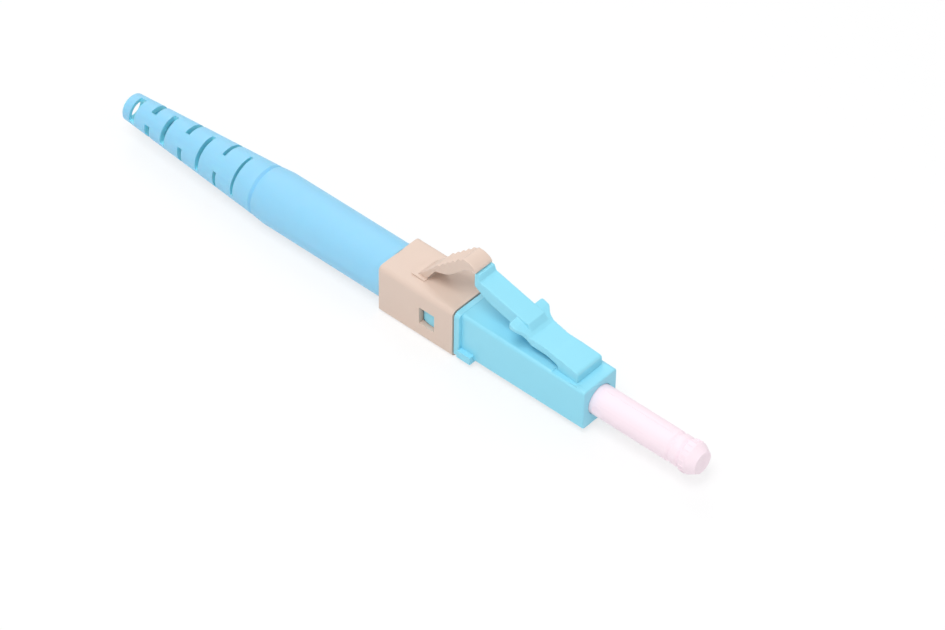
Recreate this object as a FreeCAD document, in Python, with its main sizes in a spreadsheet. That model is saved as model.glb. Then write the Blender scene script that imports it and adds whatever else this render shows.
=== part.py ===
import FreeCAD, Part
import math
import os

import Sketcher

DOC = FreeCAD.newDocument("lc_fibre_connector")
SHEET = DOC.addObject("Spreadsheet::Sheet", "Sizes")

# Driving sizes in millimetres and degrees.  X runs forward along the optical axis,
# Y to the left, Z up; the origin is on the axis in the plane of the nose face.
# Names ending in _back are distances behind the nose face and _rise heights over the axis;
# _aft counts back from the front of the clip, or of the boot for the boot's own sizes.
SIZES = [
    # plug body
    ("nose_width", 4.5), ("nose_top", 2.22), ("nose_drop", 2.32), ("body_top", 2.52),
    ("body_length", 14.46), ("nose_corner", 0.35), ("nose_edge", 0.09),
    ("sleeve_bore", 3.12), ("sleeve_depth", 3.9),
    ("seat_wall", 0.6), ("seat_bore", 1.8), ("hex_play", 0.05), ("hex_depth", 1.6),
    ("rear_bore", 3.4), ("flange_width", 5.24), ("flange_top", 2.56), ("flange_drop", 2.74),
    ("flange_thick", 0.6), ("flange_corner", 0.5),
    ("skirt_width", 4.1), ("skirt_length", 4.9), ("skirt_corner", 0.3),
    ("tab_length", 1.5), ("tab_height", 0.84), ("tab_reach", 0.54), ("tab_floor", 2.4),
    # snap lugs and windows
    ("window_aft", 2.18), ("window_length", 1.84), ("window_height", 1.96),
    ("window_floor", 1.18), ("lug_play", 0.12), ("lug_reach", 0.27), ("lug_slope", 0.16),
    ("lug_round", 0.8),
    # latch
    ("root_front_back", 1.3), ("root_width", 3.46), ("root_rear_width", 3.06), ("root_rise", 3.3),
    ("root_round", 0.3),
    ("pivot_back", 3.95), ("pivot_rise", 3.19), ("arm_thick", 0.86), ("seam_gap", 0.03),
    ("waist_back", 5.1), ("waist_width", 2.92), ("neck_back", 7.42), ("neck_width", 3.36),
    ("neck_top", 4.06), ("neck_under", 3.26), ("rise_back", 6.85), ("step_foot_back", 7.05),
    ("waist_round", 3.0), ("neck_round", 1.1),
    ("shoulder_back", 8.93), ("shoulder_length", 0.85), ("shoulder_width", 4.6),
    ("shoulder_top", 5.12), ("shoulder_under", 4.45), ("shoulder_round", 0.25),
    ("arm_width", 2.28), ("step_back", 7.6), ("step_top", 4.95), ("tail_ahead", 1.11),
    ("tail_top", 6.45), ("tail_under", 5.65), ("lip_length", 0.7), ("lip_top", 7.04),
    ("lip_slope", 0.25), ("belly_length", 1.75), ("belly_under", 4.55),
    ("sweep_length", 2.95), ("sweep_under", 4.26),
    # rear clip
    ("clip_gap", 0.1), ("clip_width", 5.53), ("clip_top", 2.7), ("clip_drop", 2.88),
    ("clip_length", 9.03), ("clip_corner", 0.55), ("clip_edge", 0.07),
    ("skirt_play", 0.06), ("clip_wall", 1.25), ("barrel_play", 0.08),
    ("foot_aft", 4.54), ("foot_length", 1.6), ("foot_width", 2.9), ("foot_thick", 0.15),
    # trigger
    ("hinge_aft", 4.74), ("hinge_over", 0.57), ("hinge_tilt", 50.0), ("limb_thick", 0.66),
    ("trigger_width", 2.22), ("ramp_reach", 0.3), ("ramp_over", 0.85),
    ("crown_reach", 3.95), ("crown_over", 4.23), ("brow_reach", 4.65), ("brow_over", 4.66),
    ("bridge_reach", 5.4), ("bridge_over", 4.43),
    ("tip_reach", 6.03), ("tip_over", 4.03), ("tip_thick", 0.14),
    ("beak_reach", 4.9), ("beak_over", 3.71), ("cheek_reach", 3.45), ("cheek_over", 2.28),
    ("chin_reach", 2.7), ("chin_over", 1.57), ("arch_reach", 1.15), ("arch_over", 1.06),
    ("ridge_count", 5), ("ridge_pitch", 0.98), ("ridge_height", 0.2), ("ridge_base", 0.52),
    ("ridge_start", 0.22),
    # boot
    ("boot_gap", 0.04), ("boot_radius", 2.78), ("taper_aft", 14.97), ("ring_radius", 2.65),
    ("ring_aft", 16.47), ("ring_width", 0.44), ("ring_depth", 0.2),
    ("cone_radius", 2.61), ("boot_length", 34.36), ("tail_radius", 1.44),
    ("tail_round", 0.14), ("cable_bore", 2.2), ("sleeve_room", 1.21),
    ("slot_width", 0.34), ("slot_growth", 0.027), ("slot_pitch", 4.86),
    ("end_slot_pitch", 4.32), ("slot_first", 2.43), ("slot_turn", 45.0),
    ("slot_sweep", 114.0), ("cross_slot_sweep", 134.0),
    # dust cap
    ("cap_radius", 1.51), ("cap_insert", 3.4), ("cap_tube", 8.7), ("cap_groove", 0.5),
    ("cap_groove_radius", 1.37), ("cap_waist_radius", 1.35), ("cap_bead", 0.55),
    ("cap_bead_radius", 1.5), ("cap_head", 0.77), ("cap_head_radius", 1.59),
    ("cap_bevel", 0.83), ("cap_end_radius", 1.12), ("cap_recess_radius", 0.8),
    ("cap_recess_depth", 0.12), ("cap_play", 0.04), ("cap_bore_depth", 7.2),
    ("dimple_ahead", 0.85), ("dimple_radius", 0.5), ("dimple_depth", 0.07),
    ("dimple_turn", 6.0),
    # ferrule, holder, guide tube and spring
    ("ferrule_radius", 0.6245), ("ferrule_out", 1.2), ("ferrule_length", 7.2),
    ("ferrule_tip_radius", 0.42), ("ferrule_tip_length", 0.3), ("press_play", 0.005),
    ("holder_gap", 0.02), ("holder_hex", 2.9), ("holder_flange", 1.2), ("stem_radius", 0.95),
    ("stem_length", 4.6), ("guide_radius", 0.64), ("guide_bore", 0.48),
    ("guide_socket", 1.2), ("guide_length", 13.4),
    ("wire_radius", 0.17), ("coil_radius", 1.28), ("coil_turns", 4.2), ("coil_play", 0.02),
    # backbone and crimp sleeve
    ("spigot_reach", 10.94), ("spigot_play", 0.05), ("collar_play", 0.05),
    ("barrel_radius", 1.4), ("barrel_length", 6.4), ("guide_play", 0.12),
    ("sleeve_play", 0.02), ("sleeve_wall", 0.28), ("sleeve_front_gap", 0.2),
    ("sleeve_length", 7.6), ("socket_play", 0.06),
]
for row, (alias, number) in enumerate(SIZES, start=1):
    SHEET.set("A%d" % row, alias)
    SHEET.set("B%d" % row, str(number))
    SHEET.setAlias("B%d" % row, alias)
DOC.recompute()


class Size:
    """A length or angle that keeps its value and the expression that drives it."""

    def __init__(self, number, text):
        self.number = number
        self.text = text

    def _join(self, other, sign, flip=False):
        if not isinstance(other, Size):
            other = Size(float(other), repr(float(other)))
        first, second = (other, self) if flip else (self, other)
        a, b = first.number, second.number
        number = {"+": a + b, "-": a - b, "*": a * b, "/": a / b if b else 0.0}[sign]
        return Size(number, "(%s %s %s)" % (first.text, sign, second.text))

    def __add__(self, other):
        return self._join(other, "+")

    def __radd__(self, other):
        return self._join(other, "+", True)

    def __sub__(self, other):
        return self._join(other, "-")

    def __rsub__(self, other):
        return self._join(other, "-", True)

    def __mul__(self, other):
        return self._join(other, "*")

    def __rmul__(self, other):
        return self._join(other, "*", True)

    def __truediv__(self, other):
        return self._join(other, "/")

    def __neg__(self):
        return Size(-self.number, "(-%s)" % self.text)


class Sizes:
    """Attribute access to the sheet: S.nose_width is the cell with that alias."""

    def __getattr__(self, alias):
        return Size(float(SHEET.get(alias)), "Sizes." + alias)


S = Sizes()


def cosine(angle):
    return Size(math.cos(math.radians(angle.number)), "cos(%s * 1deg)" % angle.text)


def sine(angle):
    return Size(math.sin(math.radians(angle.number)), "sin(%s * 1deg)" % angle.text)


def leg(longest, side):
    """The other side of a right triangle."""
    square = longest.number ** 2 - side.number ** 2
    return Size(math.sqrt(square), "sqrt(%s ^ 2 - %s ^ 2)" % (longest.text, side.text))


def number(value):
    return value.number if isinstance(value, Size) else float(value)


def bind(thing, prop, value):
    """Set a property, and tie it to the sheet where the value comes from there."""
    if isinstance(value, Size):
        thing.setExpression(prop, value.text)
    else:
        setattr(thing, prop, value)


def new_body(label):
    body = DOC.addObject("PartDesign::Body", label)
    body.Label = label
    return body


def sketch_on(body, role, name, offset=None, turn=0):
    """A sketch on one of the body's own origin planes, moved along its normal."""
    sketch = body.newObject("Sketcher::SketchObject", name)
    plane = [f for f in body.Origin.OriginFeatures if f.Role == role][0]
    sketch.AttachmentSupport = [(plane, "")]
    sketch.MapMode = "FlatFace"
    if number(turn):
        sketch.AttachmentOffset = FreeCAD.Placement(
            FreeCAD.Vector(), FreeCAD.Rotation(FreeCAD.Vector(1, 0, 0), number(turn)))
        sketch.setExpression(".AttachmentOffset.Rotation.Angle", turn.text + " * 1deg")
    if offset is not None:
        sketch.setExpression(".AttachmentOffset.Base.z", offset.text)
    return sketch


def place_point(sketch, geo, end, axis, value):
    """Hold one coordinate of a sketch point at a value counted from the origin."""
    kind, other_axis = ("DistanceX", -2) if axis == 0 else ("DistanceY", -1)
    if not isinstance(value, Size) and value == 0:
        sketch.addConstraint(Sketcher.Constraint("PointOnObject", geo, end, other_axis))
        return
    index = sketch.addConstraint(Sketcher.Constraint(kind, -1, 1, geo, end, number(value)))
    if isinstance(value, Size):
        sketch.setExpression("Constraints[%d]" % index, value.text)


def outline(sketch, points, arc=None):
    """A closed outline of straight edges; arc=(centre, radius) bends the last edge."""
    spots = [FreeCAD.Vector(number(p[0]), number(p[1]), 0) for p in points]
    first = sketch.GeometryCount
    count = len(points)
    for i in range(count):
        a, b = spots[i], spots[(i + 1) % count]
        if arc and i == count - 1:
            centre = FreeCAD.Vector(number(arc[0][0]), number(arc[0][1]), 0)
            round_edge = Part.Circle(centre, FreeCAD.Vector(0, 0, 1), number(arc[1]))
            turns = [math.atan2(v.y - centre.y, v.x - centre.x) for v in (a, (a + b) * 0.5, b)]
            to_middle = (turns[1] - turns[0]) % (2 * math.pi)
            start, stop = (turns[0], turns[2]) if to_middle < math.pi else (turns[2], turns[0])
            sketch.addGeometry(Part.ArcOfCircle(
                round_edge, start, start + (stop - start) % (2 * math.pi)), False)
        else:
            sketch.addGeometry(Part.LineSegment(a, b), False)
    ends = {}
    for i in range(count):
        geometry = sketch.Geometry[first + i]
        a = spots[i]
        start = (geometry.StartPoint - a).Length < (geometry.EndPoint - a).Length
        ends[i] = (1, 2) if start else (2, 1)
    for i in range(count):
        j = (i + 1) % count
        sketch.addConstraint(Sketcher.Constraint(
            "Coincident", first + i, ends[i][1], first + j, ends[j][0]))
    for i, point in enumerate(points):
        place_point(sketch, first + i, ends[i][0], 0, point[0])
        place_point(sketch, first + i, ends[i][0], 1, point[1])
    if arc:
        place_point(sketch, first + count - 1, 3, 0, arc[0][0])


def rectangle(sketch, left, right, bottom, top):
    outline(sketch, [(left, bottom), (right, bottom), (right, top), (left, top)])


def circle(sketch, radius, centre=(0, 0)):
    spot = FreeCAD.Vector(number(centre[0]), number(centre[1]), 0)
    geo = sketch.addGeometry(Part.Circle(spot, FreeCAD.Vector(0, 0, 1), number(radius)), False)
    if number(centre[0]) == 0 and number(centre[1]) == 0:
        sketch.addConstraint(Sketcher.Constraint("Coincident", geo, 3, -1, 1))
    else:
        place_point(sketch, geo, 3, 0, centre[0])
        place_point(sketch, geo, 3, 1, centre[1])
    index = sketch.addConstraint(Sketcher.Constraint("Radius", geo, number(radius)))
    sketch.setExpression("Constraints[%d]" % index, radius.text)


def hexagon(sketch, flats):
    """A regular hexagon about the axis, with flats to the left and right."""
    half, corner = flats / 2, flats / math.sqrt(3.0)
    outline(sketch, [(half, -(corner / 2)), (half, corner / 2), (0, corner),
                     (-half, corner / 2), (-half, -(corner / 2)), (0, -corner)])


def feature(body, kind, name, sketch, **settings):
    """Add a PartDesign feature, check that it changed the solid, and return it."""
    before = body.Shape.Volume if body.Tip else 0.0
    made = body.newObject("PartDesign::" + kind, name)
    made.Profile = sketch
    for prop, value in settings.items():
        bind(made, prop, value)
    sketch.Visibility = False
    DOC.recompute()
    if abs(body.Shape.Volume - before) < 1e-6:
        raise RuntimeError(name + " changed nothing")
    return made
    return made


def pad(body, name, sketch, length, both=False, back=False):
    return feature(body, "Pad", name, sketch, Length=length, Midplane=both, Reversed=back)


def pocket(body, name, sketch, length=None, both=False, back=False):
    if length is None:
        return feature(body, "Pocket", name, sketch, Type=1, Midplane=both, Reversed=back)
    return feature(body, "Pocket", name, sketch, Length=length, Midplane=both, Reversed=back)


def turned(body, name, points, cut=False):
    """Revolve an outline of (x, radius) points about the X axis."""
    sketch = sketch_on(body, "XZ_Plane", name + "Outline")
    outline(sketch, points)
    axis = [f for f in body.Origin.OriginFeatures if f.Role == "X_Axis"][0]
    return feature(body, "Groove" if cut else "Revolution", name, sketch,
                   ReferenceAxis=(axis, [""]), Angle=360.0)


def mirrored(body, name, originals):
    plane = [f for f in body.Origin.OriginFeatures if f.Role == "XZ_Plane"][0]
    made = body.newObject("PartDesign::Mirrored", name)
    made.Originals = originals
    made.MirrorPlane = (plane, [""])
    body.Tip = made
    DOC.recompute()
    return made
    return made


def edges_where(body, test):
    names = []
    for index, edge in enumerate(body.Shape.Edges, start=1):
        if test(edge):
            names.append("Edge%d" % index)
    return names


def runs_along(edge, direction):
    if not isinstance(edge.Curve, Part.Line):
        return False
    way = edge.Curve.Direction
    return abs(abs(way.dot(direction)) - 1.0) < 0.02


def dress(body, kind, name, prop, value, test):
    """Fillet or chamfer the edges that pass the test."""
    base, names = body.Tip, edges_where(body, test)
    if not names:
        raise RuntimeError(name + " found no edges")
    made = body.newObject("PartDesign::" + kind, name)
    made.Base = (base, names)
    bind(made, prop, value)
    body.Tip = made
    DOC.recompute()
    if "Invalid" in made.State:
        raise RuntimeError(name + " failed")
    return made


AHEAD, LEFT, UP = FreeCAD.Vector(1, 0, 0), FreeCAD.Vector(0, 1, 0), FreeCAD.Vector(0, 0, 1)


def spot_is(edge, x=None, y=None, z=None, slack=0.02):
    """True when the middle of an edge lies at the given coordinates."""
    middle = edge.valueAt((edge.FirstParameter + edge.LastParameter) / 2)
    for have, want in ((middle.x, x), (middle.y, y), (middle.z, z)):
        if want is not None and abs(have - number(want)) > slack:
            return False
    return True


# Stations that several pieces share.
body_end = -S.body_length
flange_end = body_end - S.flange_thick
skirt_end = flange_end - S.skirt_length
clip_front = flange_end - S.clip_gap
clip_rear = clip_front - S.clip_length
clip_floor = clip_rear + S.clip_wall
boot_front = clip_rear - S.boot_gap
window_front = clip_front - S.window_aft
foot_front = clip_front - S.foot_aft
hinge_x, hinge_z = clip_front - S.hinge_aft, S.clip_top + S.hinge_over
tail_x = clip_front + S.tail_ahead
crimp_front = clip_rear - S.sleeve_front_gap
crimp_rear = crimp_front - S.sleeve_length
spigot_front = clip_floor + S.spigot_reach
sleeve_end = -S.sleeve_depth
seat_rear = sleeve_end - S.seat_wall
hex_end = seat_rear - S.hex_depth
holder_front = seat_rear - S.holder_gap
flange_rear = holder_front - S.holder_flange
stem_end = flange_rear - S.stem_length
barrel_end = clip_rear - S.barrel_length
arm_half = S.arm_thick / 2
arc_half = 2 / math.sqrt(3.0)          # arc radius for a half thickness of one


def make_plug_body():
    body = new_body("plug_body")
    side = sketch_on(body, "XZ_Plane", "BodySide")
    outline(side, [(0, -S.nose_drop), (0, S.nose_top), (body_end, S.body_top),
                   (body_end, -S.nose_drop)])
    pad(body, "Nose", side, S.nose_width, both=True)
    long_edges = lambda e: e.Length > 10 and abs(e.tangentAt(e.FirstParameter).y) < 0.1
    dress(body, "Fillet", "NoseCorners", "Radius", S.nose_corner, long_edges)
    dress(body, "Chamfer", "NoseRim", "Size", S.nose_edge,
          lambda e: spot_is(e, x=0, slack=0.001) and e.BoundBox.XLength < 0.001)

    flange = sketch_on(body, "YZ_Plane", "FlangeFace", body_end)
    rectangle(flange, -(S.flange_width / 2), S.flange_width / 2, -S.flange_drop, S.flange_top)
    pad(body, "Flange", flange, S.flange_thick, back=True)
    dress(body, "Fillet", "FlangeCorners", "Radius", S.flange_corner,
          lambda e: runs_along(e, AHEAD) and abs(e.Length - S.flange_thick.number) < 1e-4)

    skirt = sketch_on(body, "YZ_Plane", "SkirtFace", flange_end)
    half = S.skirt_width / 2
    rectangle(skirt, -half, half, -half, half)
    pad(body, "Skirt", skirt, S.skirt_length, back=True)
    dress(body, "Fillet", "SkirtCorners", "Radius", S.skirt_corner,
          lambda e: runs_along(e, AHEAD) and abs(e.Length - S.skirt_length.number) < 1e-4)

    # Key tabs at the foot of both sides, against the flange.
    tab = sketch_on(body, "XZ_Plane", "TabSide")
    rectangle(tab, body_end - 0.1, body_end + S.tab_length,
              -S.tab_floor, S.tab_height - S.tab_floor)
    pad(body, "KeyTabs", tab, S.nose_width + S.tab_reach * 2, both=True)

    # Snap lugs, each in a window of the clip, with a lead-in slope at the rear.
    lug_front = window_front - S.lug_play
    lug_rear = window_front - S.window_length + S.lug_play
    lug = sketch_on(body, "XZ_Plane", "LugSide")
    rectangle(lug, lug_rear, lug_front, S.lug_play - S.window_floor,
              S.window_height - S.window_floor - S.lug_play)
    pad(body, "SnapLugs", lug, S.skirt_width + S.lug_reach * 2, both=True)
    outer = half + S.lug_reach
    dress(body, "Chamfer", "LugLead", "Size", S.lug_slope,
          lambda e: runs_along(e, UP) and spot_is(e, x=lug_rear)
          and abs(abs(e.CenterOfMass.y) - outer.number) < 0.01)

    low_lug = S.lug_play - S.window_floor
    dress(body, "Fillet", "LugRound", "Radius", S.lug_round,
          lambda e: runs_along(e, LEFT) and e.CenterOfMass.x < lug_rear.number + 0.3
          and abs(e.CenterOfMass.z - low_lug.number) < 0.01 and abs(e.CenterOfMass.y) > 2)

    # Latch root: a block on the nose with the socket that the arm turns in.
    root = sketch_on(body, "XZ_Plane", "LatchRoot")
    low, high = S.pivot_rise - arm_half, S.pivot_rise + arm_half
    socket = arm_half * arc_half + S.seam_gap
    mouth = leg(socket, arm_half) - S.pivot_back
    outline(root, [(mouth, high), (-S.root_front_back, S.root_rise),
                   (-S.root_front_back, 0.5), (mouth, 0.5), (mouth, low)],
            arc=((-S.pivot_back, S.pivot_rise), socket))
    pad(body, "LatchRootBlock", root, S.root_width, both=True)
    dress(body, "Fillet", "RootFront", "Radius", S.root_round,
          lambda e: runs_along(e, LEFT) and spot_is(e, x=-S.root_front_back, z=S.root_rise))

    taper = sketch_on(body, "XY_Plane", "RootPlan", S.nose_top)
    far = S.root_width
    outline(taper, [(0, far), (0, S.root_width / 2), (-S.pivot_back, S.root_rear_width / 2),
                    (-S.pivot_back, far)])
    cut = pocket(body, "RootTaper", taper, S.arm_thick * 3, back=True)
    mirrored(body, "RootTaperPair", [cut])

    # Bores: sleeve socket, ferrule seat, hexagonal pocket and spring chamber.
    turned(body, "SleeveBore", [
        (0, 0), (0, S.sleeve_bore / 2), (sleeve_end, S.sleeve_bore / 2), (sleeve_end, S.seat_bore / 2),
        (seat_rear - 0.01, S.seat_bore / 2), (seat_rear - 0.01, 0)], cut=True)
    pocket_hex = sketch_on(body, "YZ_Plane", "HexFace", seat_rear)
    hexagon(pocket_hex, S.holder_hex + S.hex_play * 2)
    pocket(body, "HexPocket", pocket_hex, S.hex_depth)
    chamber = sketch_on(body, "YZ_Plane", "ChamberFace", hex_end)
    circle(chamber, S.rear_bore / 2)
    pocket(body, "SpringChamber", chamber)
    return body


def make_latch_arm():
    body = new_body("latch_arm")
    low, high = S.pivot_rise - arm_half, S.pivot_rise + arm_half
    radius = arm_half * arc_half
    mouth = -S.pivot_back + radius / 2
    blade = sketch_on(body, "XZ_Plane", "BladeSide")
    outline(blade, [
        (mouth, high), (-S.rise_back, S.neck_top),
        (-(S.neck_back + S.shoulder_back) / 2, (S.neck_top + S.shoulder_top * 3) / 4),
        (-S.shoulder_back, S.shoulder_top), (-S.shoulder_back, S.shoulder_under),
        (S.shoulder_length - S.shoulder_back, S.shoulder_under),
        (-S.rise_back, S.neck_under), (mouth, low)],
        arc=((-S.pivot_back, S.pivot_rise), radius))
    pad(body, "Blade", blade, S.shoulder_width, both=True)

    # Plan of the blade: waisted between the root and the shoulders.
    plan = sketch_on(body, "XY_Plane", "BladePlan")
    far = S.shoulder_width
    outline(plan, [
        (1.0, far), (1.0, S.root_rear_width / 2), (-S.pivot_back, S.root_rear_width / 2),
        (-S.waist_back, S.waist_width / 2), (-S.neck_back, S.neck_width / 2),
        (S.shoulder_length - S.shoulder_back, S.shoulder_width / 2),
        (S.shoulder_length - S.shoulder_back, far)])
    cut = pocket(body, "BladeWaist", plan, both=True)
    mirrored(body, "BladeWaistPair", [cut])
    dress(body, "Fillet", "ShoulderCorners", "Radius", S.shoulder_round,
          lambda e: runs_along(e, UP) and spot_is(e, x=-S.shoulder_back)
          and abs(abs(e.CenterOfMass.y) - S.shoulder_width.number / 2) < 0.01)

    for name, back, radius in (("WaistCurve", S.waist_back, S.waist_round),
                               ("NeckCurve", S.neck_back, S.neck_round)):
        dress(body, "Fillet", name, "Radius", radius,
              lambda e: runs_along(e, UP) and abs(e.CenterOfMass.x + back.number) < 0.01)

    # Thumb arm: rises from the step to the lipped tail.
    arm = sketch_on(body, "XZ_Plane", "ThumbSide")
    outline(arm, [
        (-S.step_foot_back, S.neck_top - 0.05), (-S.step_back, S.step_top),
        (tail_x + S.lip_length, S.tail_top),
        (tail_x + S.lip_length - S.lip_slope, S.lip_top),
        (tail_x, S.lip_top), (tail_x, S.tail_under),
        (tail_x + S.belly_length, S.belly_under), (tail_x + S.sweep_length, S.sweep_under),
        (-S.rise_back, S.neck_under)])
    pad(body, "ThumbArm", arm, S.arm_width, both=True)
    dress(body, "Fillet", "TailCorners", "Radius", S.arm_width / 16,
          lambda e: runs_along(e, UP) and spot_is(e, x=tail_x))
    return body


def limb_points(gap):
    """Seam of the trigger hinge: centre, arc radius and the two corners."""
    along = (cosine(S.hinge_tilt), sine(S.hinge_tilt))
    radius = S.limb_thick / 2 * arc_half + gap
    centre = (hinge_x, hinge_z)
    reach, half = radius / 2, radius * (math.sqrt(3.0) / 2)
    upper = (centre[0] - reach * along[0] - half * along[1],
             centre[1] - reach * along[1] + half * along[0])
    lower = (centre[0] - reach * along[0] + half * along[1],
             centre[1] - reach * along[1] - half * along[0])
    return centre, radius, upper, lower


def make_rear_clip():
    body = new_body("rear_clip")
    front = sketch_on(body, "YZ_Plane", "ClipFace", clip_front)
    rectangle(front, -(S.clip_width / 2), S.clip_width / 2, -S.clip_drop, S.clip_top)
    pad(body, "Shell", front, S.clip_length, back=True)
    dress(body, "Fillet", "ShellCorners", "Radius", S.clip_corner,
          lambda e: runs_along(e, AHEAD))
    dress(body, "Chamfer", "ShellRim", "Size", S.clip_edge,
          lambda e: spot_is(e, x=clip_rear, slack=0.001) and e.BoundBox.XLength < 0.001)

    half = S.skirt_width / 2 + S.skirt_play
    hollow = sketch_on(body, "YZ_Plane", "HollowFace", clip_front)
    rectangle(hollow, -half, half, -half, half)
    pocket(body, "Hollow", hollow, clip_front - clip_floor)
    dress(body, "Fillet", "HollowCorners", "Radius", S.skirt_corner,
          lambda e: runs_along(e, AHEAD) and abs(abs(e.CenterOfMass.y) - half.number) < 0.01)
    outlet = sketch_on(body, "YZ_Plane", "OutletFace", clip_floor)
    circle(outlet, S.barrel_radius + S.barrel_play)
    pocket(body, "BarrelOutlet", outlet)

    window = sketch_on(body, "XZ_Plane", "WindowSide")
    rectangle(window, window_front - S.window_length, window_front,
              -S.window_floor, S.window_height - S.window_floor)
    pocket(body, "Windows", window, both=True)

    foot = sketch_on(body, "XY_Plane", "FootPlan", S.clip_top - 0.2)
    rectangle(foot, foot_front - S.foot_length, foot_front,
              -(S.foot_width / 2), S.foot_width / 2)
    pad(body, "TriggerFoot", foot, S.foot_thick + 0.2)
    centre, radius, upper, lower = limb_points(S.seam_gap)
    stub = sketch_on(body, "XZ_Plane", "StubSide")
    floor = S.clip_top - 0.1
    outline(stub, [upper, (upper[0] - (upper[1] - floor), floor),
                   (lower[0], floor), lower], arc=(centre, radius))
    pad(body, "TriggerStub", stub, S.trigger_width, both=True)
    return body


def make_trigger_arm():
    body = new_body("trigger_arm")
    centre, radius, upper, lower = limb_points(Size(0.0, "0"))

    # Thumb ridges, stepped up the ramp that faces the thumb.
    run_x, run_z = S.crown_reach - S.ramp_reach, S.crown_over - S.ramp_over
    slope = math.hypot(run_x.number, run_z.number)
    way = (run_x / slope, run_z / slope)

    def on_ramp(along, over):
        return (hinge_x + S.ramp_reach + way[0] * along - way[1] * over,
                hinge_z + S.ramp_over + way[1] * along + way[0] * over)

    ridges = []
    for k in range(int(S.ridge_count.number)):
        foot = S.ridge_start + S.ridge_pitch * k
        ridges += [on_ramp(foot, 0), on_ramp(foot + S.ridge_base * 0.35, S.ridge_height),
                   on_ramp(foot + S.ridge_base * 0.65, S.ridge_height),
                   on_ramp(foot + S.ridge_base, 0)]
    side = sketch_on(body, "XZ_Plane", "TriggerSide")

    def spot(reach, over):
        return hinge_x + reach, hinge_z + over

    outline(side, [upper, spot(S.ramp_reach, S.ramp_over)] + ridges + [
        spot(S.crown_reach, S.crown_over), spot(S.brow_reach, S.brow_over),
        spot(S.bridge_reach, S.bridge_over), spot(S.tip_reach, S.tip_over),
        spot(S.tip_reach, S.tip_over - S.tip_thick), spot(S.beak_reach, S.beak_over),
        spot(S.cheek_reach, S.cheek_over), spot(S.chin_reach, S.chin_over),
        spot(S.arch_reach, S.arch_over), lower], arc=(centre, radius))
    pad(body, "Limb", side, S.trigger_width, both=True)
    return body


def make_boot():
    body = new_body("boot")
    ring = boot_front - S.ring_aft
    tail_end = boot_front - S.boot_length
    socket_end = crimp_rear - S.sleeve_room
    bore = S.cable_bore / 2
    socket = S.barrel_radius + S.sleeve_play + S.sleeve_wall + S.socket_play
    turned(body, "BootWall", [
        (boot_front, socket), (boot_front, S.boot_radius),
        (boot_front - S.taper_aft, S.boot_radius), (ring + S.ring_width / 2, S.ring_radius),
        (ring, S.cone_radius - S.ring_depth), (ring - S.ring_width / 2, S.cone_radius),
        (tail_end + S.tail_round, S.tail_radius), (tail_end, S.tail_radius - S.tail_round),
        (tail_end, bore), (socket_end, bore), (socket_end, socket)])

    axis = [f for f in body.Origin.OriginFeatures if f.Role == "X_Axis"][0]
    first = ring - S.slot_first
    main = [first - S.slot_pitch * k for k in (0, 1, 2)]
    main.append(main[-1] - S.end_slot_pitch)
    cross = [first - S.slot_pitch / 2, first - S.slot_pitch * 1.5,
             first - S.slot_pitch * 1.5 - (S.slot_pitch + S.end_slot_pitch) / 2]
    for name, stations, turn, sweep in (
            ("MainSlots", main, S.slot_turn, S.slot_sweep),
            ("CrossSlots", cross, S.slot_turn - 90, S.cross_slot_sweep)):
        cut = sketch_on(body, "XZ_Plane", name + "Side", turn=turn)
        for station in stations:
            half = (S.slot_width + S.slot_growth * (first - station)) / 2
            rectangle(cut, station - half, station + half, bore * 0.8, S.boot_radius + 1)
        made = feature(body, "Groove", name, cut, ReferenceAxis=(axis, [""]),
                       Angle=sweep, Midplane=True)
        pair = body.newObject("PartDesign::PolarPattern", name + "Pair")
        pair.Originals = [made]
        pair.Axis = (axis, [""])
        pair.Angle = 360.0
        pair.Occurrences = 2
        body.Tip = pair
        DOC.recompute()
    return body


def make_dust_cap():
    body = new_body("dust_cap")
    inner = S.ferrule_radius + S.cap_play
    bead = S.cap_tube + S.cap_groove
    waist = bead + S.cap_bead
    head = waist + S.cap_groove
    bevel = head + S.cap_head
    end = bevel + S.cap_bevel
    bottom = S.cap_bore_depth - S.cap_insert
    turned(body, "CapWall", [
        (-S.cap_insert, inner), (-S.cap_insert, S.cap_radius), (S.cap_tube, S.cap_radius),
        ((S.cap_tube + bead) / 2, S.cap_groove_radius), (bead, S.cap_bead_radius),
        (waist, S.cap_bead_radius), ((waist + head) / 2, S.cap_waist_radius),
        (head, S.cap_head_radius), (bevel, S.cap_head_radius), (end, S.cap_end_radius), (end, S.cap_recess_radius),
        (end - S.cap_recess_depth, 0), (bottom, 0), (bottom, inner)])
    gate = sketch_on(body, "XZ_Plane", "GateDimple", S.cap_radius - S.dimple_depth,
                     turn=-S.dimple_turn)
    circle(gate, S.dimple_radius, (S.dimple_ahead, 0))
    pocket(body, "Dimple", gate, S.dimple_depth * 3, back=True)
    return body


def make_ferrule():
    body = new_body("ferrule")
    tip = S.ferrule_out
    turned(body, "FerruleRod", [
        (tip, 0), (tip, S.ferrule_tip_radius), (tip - S.ferrule_tip_length, S.ferrule_radius),
        (tip - S.ferrule_length, S.ferrule_radius), (tip - S.ferrule_length, 0)])
    return body


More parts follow.
